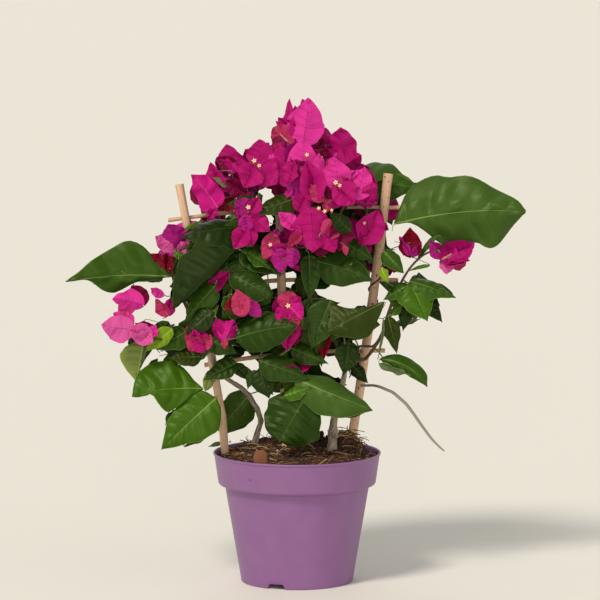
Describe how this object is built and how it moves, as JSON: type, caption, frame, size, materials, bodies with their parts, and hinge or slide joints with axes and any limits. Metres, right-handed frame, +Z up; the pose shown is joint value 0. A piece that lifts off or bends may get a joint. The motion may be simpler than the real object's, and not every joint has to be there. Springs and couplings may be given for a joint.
{
  "type": "potted bougainvillea bush",
  "caption": "Flowering bougainvillea bush with magenta bracts and green leaves, trained on a bamboo cane ladder in a purple plastic nursery pot.",
  "frame": {"origin": "centre of the pot's flat underside", "axes": "+Z up, -Y towards the plant's front, +X to the right seen from the front; the ladder of canes lies roughly in the XZ plane"},
  "size_m": [0.4701, 0.1958, 0.4922],
  "materials": {
    "pot_plastic": "moulded satin polypropylene, plum purple",
    "potting_mix": "loose coir, bark and peat, damp",
    "bamboo": "split and smoothed bamboo, dry",
    "bark": "grey-brown young bark",
    "leaf": "smooth, slightly glossy leaves",
    "bract": "papery magenta bracts"
  },
  "bodies": {
    "root": {"pot": "pot_plastic", "potting_mix": "potting_mix", "cane_left": "bamboo", "cane_middle": "bamboo", "cane_right": "bamboo", "crossbar_low": "bamboo", "crossbar_middle": "bamboo", "crossbar_top": "bamboo", "bough_right": "bark", "bough_top": "bark", "stem_left": "bark", "stem_right": "bark", "bloom_back_left": "bract", "bloom_back_right": "bract", "bloom_left_tip": "bract", "bloom_right_inner": "bract", "blooms_back_upper": "bract", "blooms_heart": "bract", "blooms_inner_left": "bract", "blooms_left": "bract", "blooms_left_heart": "bract", "blooms_left_low": "bract", "blooms_left_upper": "bract", "blooms_middle": "bract", "blooms_middle_left": "bract", "blooms_right": "bract", "blooms_right_shoulder": "bract", "blooms_tip": "bract", "blooms_top_right": "bract", "blooms_upper_left": "bract", "blooms_upper_middle": "bract", "blooms_upper_right": "bract", "leaf_centre_low": "leaf", "leaf_dry": "leaf", "leaf_low_back": "leaf", "leaf_low_front": "leaf", "leaves_back_low": "leaf", "leaves_back_middle": "leaf", "leaves_back_upper": "leaf", "leaves_centre": "leaf", "leaves_centre_right": "leaf", "leaves_centre_upper": "leaf", "leaves_inner_left": "leaf", "leaves_inner_right": "leaf", "leaves_left": "leaf", "leaves_left_low": "leaf", "leaves_left_middle": "leaf", "leaves_low_middle": "leaf", "leaves_low_right": "leaf", "leaves_right": "leaf", "leaves_right_hanging": "leaf", "leaves_right_low": "leaf", "leaves_right_middle": "leaf", "leaves_side_left": "leaf", "leaves_side_right": "leaf", "leaves_top_right": "leaf", "leaves_upper_left": "leaf"}
  },
  "joints": []
}
